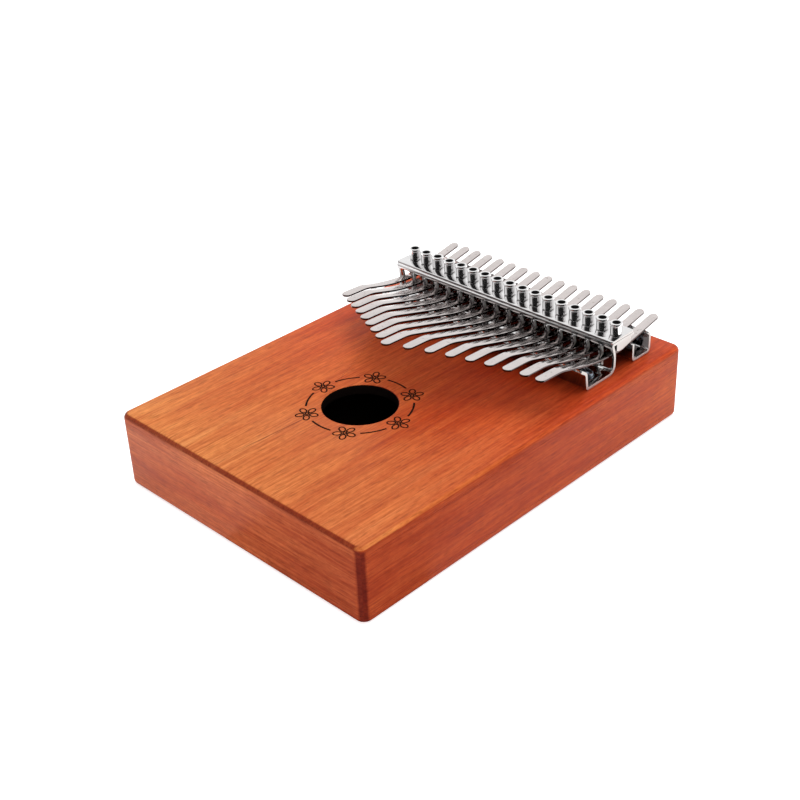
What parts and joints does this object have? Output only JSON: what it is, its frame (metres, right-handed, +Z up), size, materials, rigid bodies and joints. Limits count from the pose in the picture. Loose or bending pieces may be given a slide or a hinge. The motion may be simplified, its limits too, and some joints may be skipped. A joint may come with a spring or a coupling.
{
  "type": "mbira",
  "caption": "Thumb piano with a hollow wooden box, a round sound hole, and spring-steel tines clamped across a bent metal bridge by threaded barrels.",
  "frame": {"origin": "middle of the underside of the box, on the surface it lies on", "axes": "+Z up out of the soundboard, +Y along the tines from their playing tips to their rear ends, +X to the player's side that is right when +Y points away"},
  "size_m": [0.134, 0.185, 0.0551],
  "materials": {
    "top_wood": "satin lacquered straight-grained reddish mahogany",
    "side_wood": "satin lacquered reddish mahogany",
    "chrome": "polished plated sheet steel",
    "barrel_chrome": "polished plated turned steel",
    "spring_steel": "satin ground spring steel",
    "screw_steel": "bright zinc"
  },
  "bodies": {
    "root": {"soundboard": "top_wood", "body_frame": "side_wood", "back_plate": "side_wood", "bridge_channel": "chrome", "top_plate": "chrome", "clamp_bar": "chrome", "rear_channel": "chrome", "bridge_screw_left": "screw_steel", "bridge_screw_right": "screw_steel", "clamp_barrel_01": "barrel_chrome", "clamp_barrel_02": "barrel_chrome", "clamp_barrel_03": "barrel_chrome", "clamp_barrel_04": "barrel_chrome", "clamp_barrel_05": "barrel_chrome", "clamp_barrel_06": "barrel_chrome", "clamp_barrel_07": "barrel_chrome", "clamp_barrel_08": "barrel_chrome", "clamp_barrel_09": "barrel_chrome", "clamp_barrel_10": "barrel_chrome", "clamp_barrel_11": "barrel_chrome", "clamp_barrel_12": "barrel_chrome", "clamp_barrel_13": "barrel_chrome", "clamp_barrel_14": "barrel_chrome", "clamp_barrel_15": "barrel_chrome", "clamp_barrel_16": "barrel_chrome", "clamp_barrel_17": "barrel_chrome"},
    "held_01": {"tine_tail_01": "spring_steel"},
    "tongue_01": {"tine_01": "spring_steel"},
    "held_02": {"tine_tail_02": "spring_steel"},
    "tongue_02": {"tine_02": "spring_steel"},
    "held_03": {"tine_tail_03": "spring_steel"},
    "tongue_03": {"tine_03": "spring_steel"},
    "held_04": {"tine_tail_04": "spring_steel"},
    "tongue_04": {"tine_04": "spring_steel"},
    "held_05": {"tine_tail_05": "spring_steel"},
    "tongue_05": {"tine_05": "spring_steel"},
    "held_06": {"tine_tail_06": "spring_steel"},
    "tongue_06": {"tine_06": "spring_steel"},
    "held_07": {"tine_tail_07": "spring_steel"},
    "tongue_07": {"tine_07": "spring_steel"},
    "held_08": {"tine_tail_08": "spring_steel"},
    "tongue_08": {"tine_08": "spring_steel"},
    "held_09": {"tine_tail_09": "spring_steel"},
    "tongue_09": {"tine_09": "spring_steel"},
    "held_10": {"tine_tail_10": "spring_steel"},
    "tongue_10": {"tine_10": "spring_steel"},
    "held_11": {"tine_tail_11": "spring_steel"},
    "tongue_11": {"tine_11": "spring_steel"},
    "held_12": {"tine_tail_12": "spring_steel"},
    "tongue_12": {"tine_12": "spring_steel"},
    "held_13": {"tine_tail_13": "spring_steel"},
    "tongue_13": {"tine_13": "spring_steel"},
    "held_14": {"tine_tail_14": "spring_steel"},
    "tongue_14": {"tine_14": "spring_steel"},
    "held_15": {"tine_tail_15": "spring_steel"},
    "tongue_15": {"tine_15": "spring_steel"},
    "held_16": {"tine_tail_16": "spring_steel"},
    "tongue_16": {"tine_16": "spring_steel"},
    "held_17": {"tine_tail_17": "spring_steel"},
    "tongue_17": {"tine_17": "spring_steel"}
  },
  "joints": [
    {"name": "tine_01_tuning", "type": "slide", "parent": "root", "child": "held_01", "axis": [0, 1, 0], "range_m": [-0.0015, 0.0015]},
    {"name": "tine_01_flex", "type": "hinge", "parent": "held_01", "child": "tongue_01", "pos_m": [-0.053, 0.034, 0.0439], "axis": [1, 0, 0], "range_deg": [-1.5, 3.5], "stiffness_Nm_per_rad": 8.27},
    {"name": "tine_02_tuning", "type": "slide", "parent": "root", "child": "held_02", "axis": [0, 1, 0], "range_m": [-0.0015, 0.0015]},
    {"name": "tine_02_flex", "type": "hinge", "parent": "held_02", "child": "tongue_02", "pos_m": [-0.04615, 0.034, 0.0439], "axis": [1, 0, 0], "range_deg": [-1.5, 3.5], "stiffness_Nm_per_rad": 6.8},
    {"name": "tine_03_tuning", "type": "slide", "parent": "root", "child": "held_03", "axis": [0, 1, 0], "range_m": [-0.0015, 0.0015]},
    {"name": "tine_03_flex", "type": "hinge", "parent": "held_03", "child": "tongue_03", "pos_m": [-0.0393, 0.034, 0.0439], "axis": [1, 0, 0], "range_deg": [-1.5, 3.5], "stiffness_Nm_per_rad": 5.77},
    {"name": "tine_04_tuning", "type": "slide", "parent": "root", "child": "held_04", "axis": [0, 1, 0], "range_m": [-0.0015, 0.0015]},
    {"name": "tine_04_flex", "type": "hinge", "parent": "held_04", "child": "tongue_04", "pos_m": [-0.03245, 0.034, 0.0439], "axis": [1, 0, 0], "range_deg": [-1.5, 3.5], "stiffness_Nm_per_rad": 5.02},
    {"name": "tine_05_tuning", "type": "slide", "parent": "root", "child": "held_05", "axis": [0, 1, 0], "range_m": [-0.0015, 0.0015]},
    {"name": "tine_05_flex", "type": "hinge", "parent": "held_05", "child": "tongue_05", "pos_m": [-0.0256, 0.034, 0.0439], "axis": [1, 0, 0], "range_deg": [-1.5, 3.5], "stiffness_Nm_per_rad": 4.43},
    {"name": "tine_06_tuning", "type": "slide", "parent": "root", "child": "held_06", "axis": [0, 1, 0], "range_m": [-0.0015, 0.0015]},
    {"name": "tine_06_flex", "type": "hinge", "parent": "held_06", "child": "tongue_06", "pos_m": [-0.01875, 0.034, 0.0439], "axis": [1, 0, 0], "range_deg": [-1.5, 3.5], "stiffness_Nm_per_rad": 3.97},
    {"name": "tine_07_tuning", "type": "slide", "parent": "root", "child": "held_07", "axis": [0, 1, 0], "range_m": [-0.0015, 0.0015]},
    {"name": "tine_07_flex", "type": "hinge", "parent": "held_07", "child": "tongue_07", "pos_m": [-0.0119, 0.034, 0.0439], "axis": [1, 0, 0], "range_deg": [-1.5, 3.5], "stiffness_Nm_per_rad": 3.6},
    {"name": "tine_08_tuning", "type": "slide", "parent": "root", "child": "held_08", "axis": [0, 1, 0], "range_m": [-0.0015, 0.0015]},
    {"name": "tine_08_flex", "type": "hinge", "parent": "held_08", "child": "tongue_08", "pos_m": [-0.00505, 0.034, 0.0439], "axis": [1, 0, 0], "range_deg": [-1.5, 3.5], "stiffness_Nm_per_rad": 3.29},
    {"name": "tine_09_tuning", "type": "slide", "parent": "root", "child": "held_09", "axis": [0, 1, 0], "range_m": [-0.0015, 0.0015]},
    {"name": "tine_09_flex", "type": "hinge", "parent": "held_09", "child": "tongue_09", "pos_m": [0.0018, 0.034, 0.0439], "axis": [1, 0, 0], "range_deg": [-1.5, 3.5], "stiffness_Nm_per_rad": 3.03},
    {"name": "tine_10_tuning", "type": "slide", "parent": "root", "child": "held_10", "axis": [0, 1, 0], "range_m": [-0.0015, 0.0015]},
    {"name": "tine_10_flex", "type": "hinge", "parent": "held_10", "child": "tongue_10", "pos_m": [0.00865, 0.034, 0.0439], "axis": [1, 0, 0], "range_deg": [-1.5, 3.5], "stiffness_Nm_per_rad": 3.38},
    {"name": "tine_11_tuning", "type": "slide", "parent": "root", "child": "held_11", "axis": [0, 1, 0], "range_m": [-0.0015, 0.0015]},
    {"name": "tine_11_flex", "type": "hinge", "parent": "held_11", "child": "tongue_11", "pos_m": [0.0155, 0.034, 0.0439], "axis": [1, 0, 0], "range_deg": [-1.5, 3.5], "stiffness_Nm_per_rad": 3.79},
    {"name": "tine_12_tuning", "type": "slide", "parent": "root", "child": "held_12", "axis": [0, 1, 0], "range_m": [-0.0015, 0.0015]},
    {"name": "tine_12_flex", "type": "hinge", "parent": "held_12", "child": "tongue_12", "pos_m": [0.02235, 0.034, 0.0439], "axis": [1, 0, 0], "range_deg": [-1.5, 3.5], "stiffness_Nm_per_rad": 4.25},
    {"name": "tine_13_tuning", "type": "slide", "parent": "root", "child": "held_13", "axis": [0, 1, 0], "range_m": [-0.0015, 0.0015]},
    {"name": "tine_13_flex", "type": "hinge", "parent": "held_13", "child": "tongue_13", "pos_m": [0.0292, 0.034, 0.0439], "axis": [1, 0, 0], "range_deg": [-1.5, 3.5], "stiffness_Nm_per_rad": 4.77},
    {"name": "tine_14_tuning", "type": "slide", "parent": "root", "child": "held_14", "axis": [0, 1, 0], "range_m": [-0.0015, 0.0015]},
    {"name": "tine_14_flex", "type": "hinge", "parent": "held_14", "child": "tongue_14", "pos_m": [0.03605, 0.034, 0.0439], "axis": [1, 0, 0], "range_deg": [-1.5, 3.5], "stiffness_Nm_per_rad": 5.33},
    {"name": "tine_15_tuning", "type": "slide", "parent": "root", "child": "held_15", "axis": [0, 1, 0], "range_m": [-0.0015, 0.0015]},
    {"name": "tine_15_flex", "type": "hinge", "parent": "held_15", "child": "tongue_15", "pos_m": [0.0429, 0.034, 0.0439], "axis": [1, 0, 0], "range_deg": [-1.5, 3.5], "stiffness_Nm_per_rad": 5.89},
    {"name": "tine_16_tuning", "type": "slide", "parent": "root", "child": "held_16", "axis": [0, 1, 0], "range_m": [-0.0015, 0.0015]},
    {"name": "tine_16_flex", "type": "hinge", "parent": "held_16", "child": "tongue_16", "pos_m": [0.04975, 0.034, 0.0439], "axis": [1, 0, 0], "range_deg": [-1.5, 3.5], "stiffness_Nm_per_rad": 6.38},
    {"name": "tine_17_tuning", "type": "slide", "parent": "root", "child": "held_17", "axis": [0, 1, 0], "range_m": [-0.0015, 0.0015]},
    {"name": "tine_17_flex", "type": "hinge", "parent": "held_17", "child": "tongue_17", "pos_m": [0.0566, 0.034, 0.0439], "axis": [1, 0, 0], "range_deg": [-1.5, 3.5], "stiffness_Nm_per_rad": 6.65}
  ]
}
